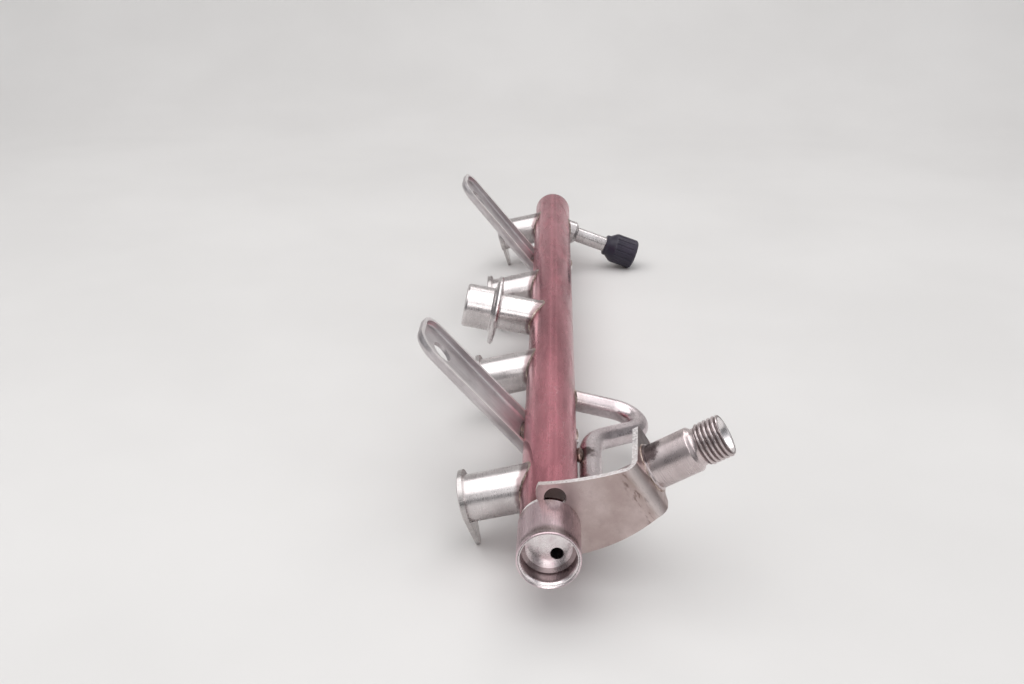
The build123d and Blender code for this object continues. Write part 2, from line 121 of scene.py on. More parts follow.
BEND_ACROSS = radial(BEND_TILT)
BEND_LINE = radial(BEND_TILT + 90)
EAR_OUT = BEND_ACROSS * math.sin(BEND_TURN) - ALONG * math.cos(BEND_TURN)
EAR_ALONG = BEND_ACROSS * math.cos(BEND_TURN) + ALONG * math.sin(BEND_TURN)
EAR_ORIGIN = BEND_POINT + ALONG * BEND_R + EAR_OUT * BEND_R
INLET = EAR_ORIGIN + EAR_ALONG * INLET_ALONG + BEND_LINE * INLET_UP


def strut_axes(angle):
    out = radial(angle)
    opening = Vector((out.z, 0, -out.x))
    return out, opening


# --- Node graph helpers ------------------------------------------------------------------------------
class Graph:
    """A material's node tree with short calls for the few nodes used here."""

    def __init__(self, name):
        self.material = bpy.data.materials.new(name)
        self.material.use_nodes = True
        self.tree = self.material.node_tree
        self.shader = self.tree.nodes["Principled BSDF"]
        self.place = self.node("ShaderNodeTexCoord").outputs["Object"]

    def node(self, kind, **settings):
        made = self.tree.nodes.new(kind)
        for key, value in settings.items():
            setattr(made, key, value)
        return made

    def feed(self, source, socket):
        if hasattr(source, "is_output"):
            self.tree.links.new(source, socket)
        else:
            socket.default_value = source

    def math(self, operation, a, b=0.0, c=0.0, clamp=False):
        made = self.node("ShaderNodeMath", operation=operation, use_clamp=clamp)
        for value, socket in zip((a, b, c), made.inputs):
            self.feed(value, socket)
        return made.outputs[0]

    def plus(self, a, b):
        return self.math("ADD", a, b)

    def minus(self, a, b):
        return self.math("SUBTRACT", a, b)

    def times(self, a, b):
        return self.math("MULTIPLY", a, b)

    def absolute(self, a):
        return self.math("ABSOLUTE", a)

    def higher(self, a, b):
        return self.math("MAXIMUM", a, b)

    def beyond(self, distance, limit):
        """One where a distance is over a limit given in millimetres."""
        return self.math("GREATER_THAN", distance, limit * MM)

    def within(self, distance, limit):
        """One where a distance is under a limit given in millimetres."""
        return self.math("LESS_THAN", distance, limit * MM)

    def vector(self, operation, a, b=(0, 0, 0)):
        made = self.node("ShaderNodeVectorMath", operation=operation)
        self.feed(a, made.inputs[0])
        self.feed(b, made.inputs[1])
        return made.outputs["Value" if operation in ("DOT_PRODUCT", "DISTANCE", "LENGTH") else "Vector"]

    def combine(self, x, y, z):
        made = self.node("ShaderNodeCombineXYZ")
        for value, socket in zip((x, y, z), made.inputs):
            self.feed(value, socket)
        return made.outputs[0]

    def split(self, where):
        made = self.node("ShaderNodeSeparateXYZ")
        self.feed(where, made.inputs[0])
        return made.outputs

    def from_point(self, origin):
        """The place measured from a point given in millimetres."""
        return self.vector("SUBTRACT", self.place, tuple(Vector(origin) * MM))

    def along(self, where, axis):
        return self.vector("DOT_PRODUCT", where, tuple(axis))

    def noise(self, where, scale, detail=3.0, rough=0.55):
        made = self.node("ShaderNodeTexNoise")
        self.feed(where, made.inputs["Vector"])
        made.inputs["Scale"].default_value = scale
        made.inputs["Detail"].default_value = detail
        made.inputs["Roughness"].default_value = rough
        return made.outputs["Fac"]

    def ramp(self, value, low, high, out_low=0.0, out_high=1.0):
        made = self.node("ShaderNodeMapRange", interpolation_type="SMOOTHSTEP")
        for number, socket in zip((value, low, high, out_low, out_high), made.inputs):
            self.feed(number, socket)
        return made.outputs[0]

    def fade(self, distance, low, high, out_low=0.0, out_high=1.0):
        """Ramp of a distance between two limits given in millimetres."""
        return self.ramp(distance, low * MM, high * MM, out_low, out_high)

    def mix(self, factor, a, b):
        made = self.node("ShaderNodeMix", data_type="RGBA")
        self.feed(factor, made.inputs[0])
        self.feed(a if hasattr(a, "is_output") else (*a, 1.0), made.inputs[6])
        self.feed(b if hasattr(b, "is_output") else (*b, 1.0), made.inputs[7])
        return made.outputs[2]

    def bump(self, height, distance, strength=1.0, normal=None):
        made = self.node("ShaderNodeBump")
        made.inputs["Strength"].default_value = strength
        made.inputs["Distance"].default_value = distance
        self.feed(height, made.inputs["Height"])
        if normal is not None:
            self.feed(normal, made.inputs["Normal"])
        return made.outputs[0]

    def near(self, spots):
        """Distance in metres from the nearest of some points given in millimetres."""
        distances = [self.vector("DISTANCE", self.place, tuple(Vector(spot) * MM)) for spot in spots]
        return reduce(lambda a, b: self.math("MINIMUM", a, b), distances)


# --- Masks, each a function of a material's graph ----------------------------------------------------
def rim_edge(y, angle):
    """Mask of a channel's sheared rim: what stands higher than the fold along the open side."""
    out, opening = strut_axes(angle)
    base = ALONG * y - opening * (TUBE_R + STRUT_SHEET)

    def mask(graph):
        local = graph.from_point(base)
        reach = graph.along(local, out)
        rim = graph.math("MULTIPLY_ADD", reach, -RIM_FALL / STRUT_REACH, RIM_HEIGHT * MM)
        below = graph.minus(rim, graph.along(local, opening))
        return graph.fade(below, 0.08, 0.26, 0.75, 0.0)
    return mask


SEAM_WANDER = 0.4
SEAM_LINES = (      # each line's middle, its reach to either side and its strength
    (-0.3, 1.6, 0.20),
    (-0.3, 0.7, 0.28),
    (2.1, 0.8, 0.13),
    (-6.3, 0.9, 0.22),
)


def tube_seam(graph):
    """Mask of the polished drawing lines that run the length of the tube's top."""
    x, _, z = graph.split(graph.place)
    wandering = graph.plus(x, graph.times(graph.noise(graph.place, 40.0, 2.0), SEAM_WANDER * MM))
    lines = []
    for middle, reach, strength in SEAM_LINES:
        off = graph.absolute(graph.minus(wandering, (middle + SEAM_WANDER / 2) * MM))
        lines.append(graph.fade(off, 0.0, reach, strength, 0.0))
    return graph.times(reduce(graph.higher, lines), graph.beyond(z, 0.0))


def plate_edge_and_bend_highlight(graph):
    """Mask of the sheared edges that face along the sheet, and of the bend: part burnish, part painted
    highlight.
    """
    facing = graph.node("ShaderNodeNewGeometry").outputs["Normal"]
    on_arm = graph.absolute(graph.along(facing, ALONG))
    on_ear = graph.absolute(graph.along(facing, EAR_OUT))
    speckle = graph.ramp(graph.noise(graph.place, 1500.0, 3.0, 0.7), 0.35, 0.6, 0.45, 1.0)
    sheared = graph.times(graph.ramp(graph.higher(on_arm, on_ear), 0.3, 0.6, 1.0, 0.0), speckle)
    # The strip along the bend is part burnish, part painted highlight.
    across = graph.along(graph.from_point(BEND_POINT), BEND_ACROSS)
    wander = graph.times(graph.noise(graph.place, 260.0, 3.0), 1.2 * MM)
    off = graph.absolute(graph.plus(graph.minus(across, 2.0 * MM), wander))
    return graph.higher(sheared, graph.fade(off, 2.4, 0.4, 0.0, 0.36))


def bend_scuffs(graph):
    """Mask of short dark scuffs that run beside the plate's bend."""
    local = graph.from_point(BEND_POINT)
    across = graph.along(local, BEND_ACROSS)
    drawn_out = graph.combine(across, graph.times(graph.along(local, BEND_LINE), 0.30), 0.0)
    marks = graph.ramp(graph.noise(drawn_out, 900.0, 3.0, 0.6), 0.50, 0.66, 0.0, 0.75)
    near = graph.fade(graph.absolute(graph.plus(across, 1.2 * MM)), 3.8, 0.8)
    return graph.times(marks, near)


def inlet_coordinates(graph):
    """Distance from the ear along the inlet fitting's axis, and distance off that axis."""
    local = graph.from_point(INLET)
    off = graph.vector("LENGTH", graph.vector("CROSS_PRODUCT", local, tuple(EAR_OUT)))
    return graph.along(local, EAR_OUT), off


def mouth_painted_highlight(graph):
    """Mask of painted highlight on the cone inside the inlet fitting's mouth."""
    along, off = inlet_coordinates(graph)
    inside = graph.fade(off, MOUTH_R + 0.4, MOUTH_R + 0.1, 0.0, 0.9)
    return graph.times(inside, graph.beyond(along, CONE_FROM - 2.0))


def thread_root_shade(graph):
    """Mask of painted shade in the roots of the inlet thread."""
    along, off = inlet_coordinates(graph)
    deep = graph.fade(off, THREAD_R - 0.22, THREAD_R - 0.54, 0.0, 0.78)
    deep = graph.times(deep, graph.beyond(off, MOUTH_R + 0.2))
    return graph.times(deep, graph.beyond(along, NECK_TO + 0.3))


def gallery_coordinates(graph):
    """Distance from the gallery's axis, and the place's Y and Z."""
    x, y, z = graph.split(graph.place)
    return graph.vector("LENGTH", graph.combine(x, 0.0, z)), y, z


def socket_painted_shade(graph):
    """Mask of painted shade on the regulator socket's inner wall and on its neck behind the rim."""
    off, y, z = gallery_coordinates(graph)
    wall = graph.fade(off, SOCKET_BORE_R + 0.2, SOCKET_BORE_R, 0.0, 0.62)
    wall = graph.times(wall, graph.fade(y, 1.4, 2.4))
    wall = graph.times(wall, graph.within(y, SOCKET_STEP_Y - 0.01))
    top = graph.ramp(graph.math("DIVIDE", z, off), 0.70, 0.94)
    film = graph.times(top, graph.fade(y, 5.8, 2.8, 0.0, 0.70))
    groove = graph.fade(graph.absolute(graph.minus(y, 2.2 * MM)), 1.2, 0.6, 0.0, 0.6)
    film = graph.times(graph.higher(film, groove), graph.fade(y, 0.3, 0.9))
    film = graph.times(film, graph.fade(off, 9.2, 9.4))
    return graph.higher(wall, film)


def socket_painted_highlight(graph):
    """Mask of painted reflection on the socket's floor and step and painted highlight in its rolled mouth."""
    off, y, _ = gallery_coordinates(graph)
    inside = graph.within(off, SOCKET_STEP_R + 0.02)
    inside = graph.times(inside, graph.fade(y, SOCKET_STEP_Y - 0.03, SOCKET_STEP_Y + 0.03))
    floor_sheen = graph.times(inside, graph.ramp(graph.noise(graph.place, 420.0, 4.0), 0.30, 0.55, 0.45, 0.85))
    rolled = graph.times(graph.fade(off, 9.8, 9.4, 0.0, 0.75), graph.fade(y, 2.6, 1.2))
    return graph.higher(floor_sheen, rolled)


def socket_flare(graph):
    """Height that rolls the regulator socket's mouth open inside and eases the groove behind its rim."""
    off, y, _ = gallery_coordinates(graph)
    left = graph.minus(1.0, graph.math("DIVIDE", y, 3.0 * MM, clamp=True))
    rolled = graph.minus(1.0, graph.times(left, left))
    inside = graph.times(rolled, graph.fade(off, 9.3, 8.9))
    flank = graph.math("DIVIDE", graph.minus(3.6 * MM, y), 0.7 * MM, clamp=True)
    outside = graph.times(graph.times(flank, 0.333), graph.fade(off, 9.0, 9.4))
    return graph.plus(inside, outside)


def branch_foot_painted_shade(graph):
    """Mask of painted shade: a darker ring where a branch closes onto the gallery tube."""
    off, _, _ = gallery_coordinates(graph)
    wander = graph.times(graph.noise(graph.place, 320.0, 3.0), 1.8 * MM)
    return graph.fade(graph.plus(off, wander), 13.2, 11.6, 0.0, 0.80)


# --- Metals ------------------------------------------------------------------------------------------
CLOUD_SCALE, BLOTCH_SCALE, SCRATCH_SCALE, SMUDGE_SCALE = 70.0, 150.0, 190.0, 260.0
HEAT_CORE = 3.0                 # reach of the full heat tint round a brazed spot
# Light colour of bare sheared edges, also used for painted highlight.
BURNISH_AND_HIGHLIGHT = (0.90, 0.86, 0.86)
SCRATCHED = (0.85, 0.82, 0.80)


def shaded(colour, factor, lift=0.0):
    return tuple(min(c * factor + lift, 1.0) for c in colour)


def lined_coordinates(graph, axis, origin, turned):
    """Coordinates for fine marks: rings round an axis on turned work, or lines along it on drawn work."""
    u, w = square_axes(axis)
    local = graph.from_point(origin)
    along, across, upward = graph.along(local, axis), graph.along(local, u), graph.along(local, w)
    if not turned:
        return graph.combine(across, upward, graph.times(along, 0.012))
    reach = graph.plus(graph.math("POWER", across, 2.0), graph.math("POWER", upward, 2.0))
    return graph.combine(along, graph.math("SQRT", reach), graph.times(graph.plus(across, upward), 0.02))


def steel(name, base, dark, roughness, axis=ALONG, origin=(0, 0, 0), turned=False, metallic=1.0,
          line_scale=5200.0, line_depth=0.002 * MM, line_tint=0.30, stretch=(1.0, 1.0, 1.0), patches=0.0,
          smudges=1.0, heat=(), heat_reach=12.0, heat_colour=(0.20, 0.12, 0.07), stains_and_shade=(), seam=None,
          shade=None, shade_colour=None, edge=None, burnish=0.0, relief=None, relief_depth=0.0):
    """Metal with tool marks or drawing lines, smudges, scratches, heat tint by its brazed joints, a darker
    mask (scuffs on the plate, painted shade elsewhere), a lighter mask (sheared edges, painted highlight),
    and dark spots, some of them painted shade, each a centre, a reach in millimetres, a colour and a
    strength."""
    graph = Graph(name)
    shader = graph.shader
    shader.inputs["Metallic"].default_value = metallic
    drawn_out = graph.vector("MULTIPLY", graph.place, stretch)
    lines = graph.noise(lined_coordinates(graph, axis, origin, turned), line_scale, 2.0, 0.7)
    cloud = graph.noise(drawn_out, CLOUD_SCALE, 4.0, 0.6)
    smudge = graph.noise(drawn_out, SMUDGE_SCALE, 5.0, 0.65)
    colour = graph.mix(graph.ramp(cloud, 0.32, 0.68), dark, base)
    colour = graph.mix(graph.ramp(lines, 0.42, 0.75, 0.0, line_tint), colour, shaded(dark, 0.45))
    if patches:
        blotch = graph.noise(drawn_out, BLOTCH_SCALE, 3.0, 0.5)
        colour = graph.mix(graph.ramp(blotch, 0.52, 0.66, 0.0, patches), colour, shaded(base, 1.35))
        colour = graph.mix(graph.ramp(blotch, 0.46, 0.34, 0.0, patches), colour, shaded(dark, 0.7))
    colour = graph.mix(graph.ramp(smudge, 0.56, 0.80, 0.0, 0.35 * smudges), colour, shaded(dark, 0.6))
    if heat:
        reach = graph.plus(graph.near(heat), graph.times(cloud, 8.0 * MM))
        halo = graph.fade(reach, HEAT_CORE + heat_reach, HEAT_CORE, 0.0, 0.62)
        colour = graph.mix(halo, colour, heat_colour)
    if seam is not None:
        colour = graph.mix(seam(graph), colour, shaded(base, 1.7, 0.05))
    # Darker mask: scuffs on the plate, painted shade on the other parts.
    if shade is not None:
        colour = graph.mix(shade(graph), colour, shade_colour)
    # Dark spots; some of them are painted shade.
    for centre, reach, tint, strength in stains_and_shade:
        wander = graph.math("MULTIPLY_ADD", smudge, 1.6 * reach * MM, -0.8 * reach * MM)
        far = graph.plus(graph.near([centre]), wander)
        colour = graph.mix(graph.fade(far, 1.15 * reach, 0.65 * reach, 0.0, strength), colour, tint)
    if edge is not None:
        # Lighter mask: sheared edges, and painted highlight on some parts.
        bright = edge(graph)
        colour = graph.mix(bright, colour, BURNISH_AND_HIGHLIGHT)
        if burnish:
            graph.feed(graph.math("MULTIPLY_ADD", bright, -burnish, metallic), shader.inputs["Metallic"])
    rough = graph.ramp(smudge, 0.35, 0.75, roughness - 0.06 * smudges, roughness + 0.12 * smudges)
    rough = graph.plus(rough, graph.ramp(lines, 0.3, 0.8, -0.04, 0.06))
    scratch_cells = graph.node("ShaderNodeTexVoronoi", feature="DISTANCE_TO_EDGE")
    scratch_cells.inputs["Scale"].default_value = SCRATCH_SCALE
    warp = graph.combine(graph.times(smudge, 6.0 * MM), 0.0, graph.times(cloud, 8.0 * MM))
    graph.feed(graph.vector("ADD", graph.place, warp), scratch_cells.inputs["Vector"])
    scratches = graph.ramp(scratch_cells.outputs[0], 0.0, 0.012, 1.0, 0.0)
    scratches = graph.times(scratches, graph.ramp(cloud, 0.55, 0.7))
    colour = graph.mix(graph.times(scratches, 0.35), colour, SCRATCHED)
    graph.feed(colour, shader.inputs["Base Color"])
    graph.feed(rough, shader.inputs["Roughness"])
    bumped = graph.bump(lines, line_depth)
    bumped = graph.bump(cloud, 0.06 * MM, 0.35, bumped)
    if relief is not None:
        bumped = graph.bump(relief(graph), relief_depth, 1.0, bumped)
    graph.feed(bumped, shader.inputs["Normal"])
    return graph.material


def on_tube(y, out, reach=TUBE_R):
    return out * reach + ALONG * y


# Where the brazed joints left their heat tint.
BRACKET_TOP = Vector((0, 19, TUBE_R))
BRACKET_SIDES = [Vector((8, 20, 5)), Vector((-8, 20, 5))]
BRAZED = [on_tube(y, INJECTOR_OUT) for y in INJECTOR_YS]
BRAZED += [on_tube(DAMPER_Y, DAMPER_OUT), on_tube(PIPE_Y, PIPE_OUT), on_tube(PORT_Y, PORT_OUT)]
BRAZED += [Vector((TUBE_R, 66.0, -1.0)), Vector((7.0, 92.0, -6.0)), BRACKET_TOP, BRACKET_SIDES[0]]

# Colour of the painted shade ring at the feet of the branches.
BRANCH_FOOT_SHADE = (0.20, 0.12, 0.125)
DARK_SPOT = (0.055, 0.030, 0.028)
BROWN_PATCH = (0.075, 0.048, 0.05)
# Painted shade on the tube where it shows through the plate's keyhole.
KEYHOLE_SHADE = [(1.7, y, TUBE_R) for y in (21.5, 26.0)]
# Darker on the pipe round its braze tack.
TACK_DARK_SPOT = (11.0, 69.0, 0.5)
# Darker brown patches on the ear and on the fitting's base, where the two meet.
EAR_PATCH = INLET + EAR_ALONG * 6.5 + BEND_LINE * 5.5
BODY_PATCH = INLET - EAR_ALONG * 1.0 + BEND_LINE * 7.5 + EAR_OUT * 0.5

# The tube's red-mauve and the pink in most other steels' base colours are painted reflection of a red
# surround.
TUBE = steel(
    "rail_drawn_steel", (0.57, 0.212, 0.255), (0.355, 0.113, 0.142), 0.26,
    line_scale=4200.0, line_tint=0.10, stretch=(1.0, 0.22, 1.0), patches=0.35,
    heat=BRAZED, heat_reach=14.0, heat_colour=(0.25, 0.16, 0.135),
    stains_and_shade=[(centre, 5.5, DARK_SPOT, 0.95) for centre in KEYHOLE_SHADE], seam=tube_seam)
# Painted shade inside the socket and on its neck; painted reflection and highlight on its floor and mouth.
SOCKET = steel(
    "regulator_turned_steel", (0.76, 0.60, 0.64), (0.61, 0.465, 0.50), 0.29,
    line_scale=3800.0, stretch=(1.0, 0.3, 1.0), smudges=0.45,
    heat=[BRACKET_TOP, *BRACKET_SIDES], heat_reach=5.0,
    shade=socket_painted_shade, shade_colour=(0.145, 0.115, 0.10), edge=socket_painted_highlight,
    relief=socket_flare, relief_depth=0.9 * MM)
END_CAP = steel(
    "end_cap_pressed_steel", (0.72, 0.58, 0.61), (0.50, 0.37, 0.40), 0.26, line_tint=0.10, patches=0.2)
CUPS = {}
for index, y in enumerate(INJECTOR_YS, start=1):
    CUPS[f"injector_cup_{index}"] = steel(
        f"injector_socket_steel_{index}", (0.71, 0.67, 0.67), (0.56, 0.52, 0.52), 0.30,
        INJECTOR_OUT, ALONG * y, True, line_depth=0.001 * MM, line_tint=0.14, smudges=0.4,
        heat=[on_tube(y, INJECTOR_OUT, BRANCH_FOOT)], heat_reach=7.0, heat_colour=(0.28, 0.19, 0.16),
        shade=branch_foot_painted_shade, shade_colour=BRANCH_FOOT_SHADE)
FLANGE = steel(
    "clip_flange_steel", (0.68, 0.65, 0.64), (0.49, 0.46, 0.455), 0.30, INJECTOR_OUT, smudges=0.6)
DAMPER = steel(
    "damper_bright_steel", (0.74, 0.70, 0.70), (0.59, 0.55, 0.55), 0.27,
    DAMPER_OUT, ALONG * DAMPER_Y, True, smudges=0.45,
    heat=[on_tube(DAMPER_Y, DAMPER_OUT, BRANCH_FOOT)], heat_reach=7.0,
    shade=branch_foot_painted_shade, shade_colour=BRANCH_FOOT_SHADE)
PIPE = steel(
    "feed_pipe_steel", (0.72, 0.65, 0.665), (0.54, 0.465, 0.48), 0.29, smudges=0.5,
    heat=[on_tube(PIPE_Y, PIPE_OUT), INLET - EAR_OUT * 6], heat_reach=9.0, heat_colour=(0.26, 0.16, 0.13),
    stains_and_shade=[(TACK_DARK_SPOT, 5.0, DARK_SPOT, 0.9)])
FITTING = steel(
    "inlet_turned_steel", (0.73, 0.645, 0.645), (0.57, 0.49, 0.49), 0.30,
    EAR_OUT, INLET, True, line_scale=3600.0, line_depth=0.004 * MM, smudges=0.4,
    stains_and_shade=[(BODY_PATCH, 6.0, BROWN_PATCH, 0.90)],
    shade=thread_root_shade, shade_colour=(0.13, 0.09, 0.09), edge=mouth_painted_highlight)
BRACKET = steel(
    "bracket_sheet_steel", (0.63, 0.525, 0.51), (0.47, 0.37, 0.355), 0.36, EAR_ALONG, BEND_POINT,
    heat=[BEND_POINT + BEND_LINE * h for h in (-6, 0, 6)] + [(3, 20, 10)], heat_reach=5.0,
    heat_colour=(0.36, 0.28, 0.25), stains_and_shade=[(EAR_PATCH, 8.8, BROWN_PATCH, 0.92)],
    shade=bend_scuffs, shade_colour=(0.17, 0.11, 0.10), edge=plate_edge_and_bend_highlight, burnish=0.6)
STRUT_STEEL = {}
for name, (y, angle) in STRUTS.items():
    STRUT_STEEL[name] = steel(
        f"{name}_sheet_steel", (0.70, 0.66, 0.67), (0.54, 0.50, 0.51), 0.38,
        radial(angle), ALONG * y, metallic=0.86,
        heat=[on_tube(y + d, radial(270 + s)) for d in (-10, 10) for s in (0, 50)], heat_reach=9.0,
        edge=rim_edge(y, angle))
PORT = steel(
    "test_port_steel", (0.72, 0.69, 0.69), (0.55, 0.51, 0.51), 0.28, PORT_OUT, ALONG * PORT_Y, True,
    smudges=0.5, heat=[on_tube(PORT_Y, PORT_OUT, BRANCH_FOOT)], heat_reach=6.0)
INNER = steel("hidden_plain_steel", (0.50, 0.50, 0.50), (0.36, 0.36, 0.36), 0.35)
BRASS = steel(
    "valve_core_brass", (0.74, 0.55, 0.26), (0.52, 0.36, 0.16), 0.28, PORT_OUT, ALONG * PORT_Y, True)


# --- Plastic, rubber and braze -----------------------------------------------------------------------
GRAIN_SCALE = 900.0


def moulded(name, base, light, roughness):
    """Moulded plastic or rubber with a fine grain and dusty high spots."""
    graph = Graph(name)
    cloud = graph.noise(graph.place, 120.0, 4.0)
    fine = graph.noise(graph.place, GRAIN_SCALE, 3.0)
    colour = graph.mix(graph.ramp(cloud, 0.4, 0.75, 0.0, 0.5), base, light)
    graph.feed(colour, graph.shader.inputs["Base Color"])
    rough = graph.ramp(fine, 0.3, 0.7, roughness - 0.08, roughness + 0.1)
    graph.feed(rough, graph.shader.inputs["Roughness"])
    graph.feed(graph.bump(fine, 0.03 * MM), graph.shader.inputs["Normal"])
    return graph.material


def braze_material(name, hollow, crest):
    """Braze metal: a wavy, slightly pitted run."""
    graph = Graph(name)
    graph.shader.inputs["Metallic"].default_value = 1.0
    waves = graph.noise(graph.place, 420.0, 4.0, 0.6)
    pits = graph.noise(graph.place, 1900.0, 3.0, 0.6)
    colour = graph.mix(graph.ramp(waves, 0.35, 0.7), hollow, crest)
    colour = graph.mix(graph.ramp(pits, 0.58, 0.75, 0.0, 0.6), colour, (0.16, 0.10, 0.07))
    graph.feed(colour, graph.shader.inputs["Base Color"])
    graph.feed(graph.ramp(pits, 0.3, 0.7, 0.22, 0.42), graph.shader.inputs["Roughness"])
    graph.feed(graph.bump(waves, 0.12 * MM, 0.7), graph.shader.inputs["Normal"])
    return graph.material


CAP = moulded("cap_moulded_plastic", (0.015, 0.011, 0.026), (0.045, 0.032, 0.058), 0.42)
RUBBER = moulded("sealing_rubber", (0.012, 0.012, 0.012), (0.03, 0.03, 0.03), 0.6)
BRAZE = braze_material("braze_fillet_metal", (0.30, 0.205, 0.175), (0.66, 0.56, 0.50))
DARK_BRAZE = braze_material("braze_dark_metal", (0.10, 0.065, 0.06), (0.26, 0.18, 0.155))

NODE_MATERIALS = {
    "rail_tube": TUBE, "rail_end_cap": END_CAP, "regulator_socket": SOCKET, "inlet_bracket": BRACKET,
    "feed_pipe": PIPE, "inlet_fitting": FITTING,
    "damper_stub": DAMPER, "damper_base": DAMPER, "damper_cover": DAMPER,
    "damper_diaphragm": RUBBER, "damper_spring_seat": INNER, "damper_spring": INNER,
    "test_port_body": PORT, "test_valve_core": BRASS, "test_cap_seal": RUBBER, "test_port_cap": CAP,
    **CUPS, **STRUT_STEEL,
    **{f"injector_flange_{i}": FLANGE for i in range(1, INJECTOR_COUNT + 1)},
}
for name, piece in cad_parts.items():
    piece.data.materials.clear()
    piece.data.materials.append(NODE_MATERIALS[name])


# --- Mesh building -----------------------------------------------------------------------------------
def add_piece(name, rings, material, closed_loop=False, capped=False):
    """A skin through closed rings of points, all with the same count, carried by the rail."""
    count, size = len(rings), len(rings[0])
    verts = [tuple(Vector(point) * MM) for ring in rings for point in ring]
    faces = []
    for i in range(count if closed_loop else count - 1):
        after = (i + 1) % count
        for j in range(size):
            k = (j + 1) % size
            faces.append((i * size + j, i * size + k, after * size + k, after * size + j))
    if capped:
        faces.append(tuple(reversed(range(size))))
        faces.append(tuple(range((count - 1) * size, count * size)))
    mesh = bpy.data.meshes.new(name)
    mesh.from_pydata(verts, [], faces)
    mesh.validate()
    mesh.shade_smooth()
    piece = bpy.data.objects.new(name, mesh)
    bpy.context.collection.objects.link(piece)
    piece.data.materials.append(material)
    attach(piece, "root")
    return piece


def bow_between(a, middle, b, steps):
    """Points of a curve from a to b that is drawn towards a middle point."""
    fractions = [i / steps for i in range(steps + 1)]
    return [a * (1 - t) ** 2 + middle * 2 * t * (1 - t) + b * t ** 2 for t in fractions]


# --- Braze -------------------------------------------------------------------------------------------
FILLET_SECTIONS = 72
FILLET_STEPS = 5
FILLET_HOLLOW = 0.16            # share of its widths at which a fillet's middle stands out of the corner
SUNK = 0.25                     # how deep its back lies in both walls
NARROWEST = 0.5


def fillet_ring(point, along_a, along_b, width_a, width_b):
    """Section of a hollow fillet in the corner at a point, with its back sunk into both walls."""
    a, b = point + along_a * width_a, point + along_b * width_b
    middle = point + along_a * width_a * FILLET_HOLLOW + along_b * width_b * FILLET_HOLLOW
    return bow_between(a, middle, b, FILLET_STEPS) + [point - along_a * SUNK - along_b * SUNK]


def waver(place, seed, low, high):
    """A width that wanders between two limits along a joint."""
    value = noise.noise(Vector(place) * 0.35 + Vector((seed * 7.3, seed * 3.1, seed))) * 0.5 + 0.5
    return low + (high - low) * min(max(value, 0.0), 1.0)


def branch_fillet(name, y, out, radius, seed, widest=0.9):
    """Braze fillet where a round branch of that radius meets the gallery tube."""
    side = ALONG.cross(out)
    rings = []
    for i in range(FILLET_SECTIONS):
        turn = 2 * math.pi * i / FILLET_SECTIONS
        outward = ALONG * math.cos(turn) + side * math.sin(turn)
        off_axis = radius * math.sin(turn)
        rise = math.sqrt(max(TUBE_R ** 2 - off_axis ** 2, 0.3))
        point = ALONG * y + outward * radius + out * rise
        tube_normal = Vector((point.x, 0, point.z)).normalized()
        down = outward - tube_normal * outward.dot(tube_normal)
        down = down.normalized() if down.length > 0.05 else -out
        flatness = abs(off_axis) / TUBE_R
        width = waver(point, seed, NARROWEST, widest) * (1 - 0.45 * flatness ** 3)
        rings.append(fillet_ring(point, down, out, width * 0.9, width))
    add_piece(name, rings, BRAZE, closed_loop=True)


def ring_fillet(name, centre, normal, radius, width, height, seed):
    """Braze fillet round a round part of the inlet fitting that stands on the ear."""
    u, w = square_axes(normal)
    rings = []
    for i in range(FILLET_SECTIONS):
        turn = 2 * math.pi * i / FILLET_SECTIONS
        outward = u * math.cos(turn) + w * math.sin(turn)
        point = centre + outward * radius
        size = 1 + 0.25 * noise.noise(point * 0.4 + Vector((seed, seed, 0)))
        rings.append(fillet_ring(point, outward, normal, width * size, height * size))
    add_piece(name, rings, BRAZE, closed_loop=True)


POOL_HALF = 12.2
POOL_STATIONS = 40
POOL_STEPS = 6
FILM = 0.02                     # how far a pool's edges stand clear of the strut's floor and the tube


def strut_pool(name, y, angle):
    """Braze drawn into the wedge between a strut's floor and the tube, widest at its middle."""
    out, opening = strut_axes(angle)
    rings = []
    for i in range(POOL_STATIONS + 1):
        along = -POOL_HALF + 2 * POOL_HALF * i / POOL_STATIONS
        swell = math.sqrt(max(1 - (along / (POOL_HALF + 0.2)) ** 2, 0.0))
        reach = 2.6 + 3.4 * swell + 0.5 * noise.noise(Vector((along * 0.4, y, 0)))
        turn = reach / TUBE_R
        on_floor = out * reach - opening * (TUBE_R - FILM)
        on_round = (out * math.sin(turn) - opening * math.cos(turn)) * (TUBE_R + FILM)
        middle = out * (reach * 0.72) - opening * (TUBE_R - 0.45 * reach ** 2 / (2 * TUBE_R))
        ring = bow_between(on_floor, middle, on_round, POOL_STEPS) + [out * 0.4 - opening * (TUBE_R - 0.1)]
        rings.append([point + ALONG * (y + along) for point in ring])
    add_piece(name, rings, DARK_BRAZE, capped=True)


def blob(name, centre, lengths, axes, seed, material):
    """A frozen drop of braze: a lumpy flattened dome."""
    rows, columns = 16, 28
    rings = []
    for i in range(1, rows):
        polar = math.pi * i / rows
        ring = []
        for j in range(columns):
            turn = 2 * math.pi * j / columns
            unit = (math.sin(polar) * math.cos(turn), math.sin(polar) * math.sin(turn), math.cos(polar))
            lump = 1 + 0.22 * noise.noise(Vector(unit) * 1.6 + Vector((seed, 0, seed * 2.0)))
            parts = zip(axes, lengths, unit)
            offset = sum((axis * length * part * lump for axis, length, part in parts), Vector())
            ring.append(centre + offset)
        rings.append(ring)
    add_piece(name, rings, material, capped=True)


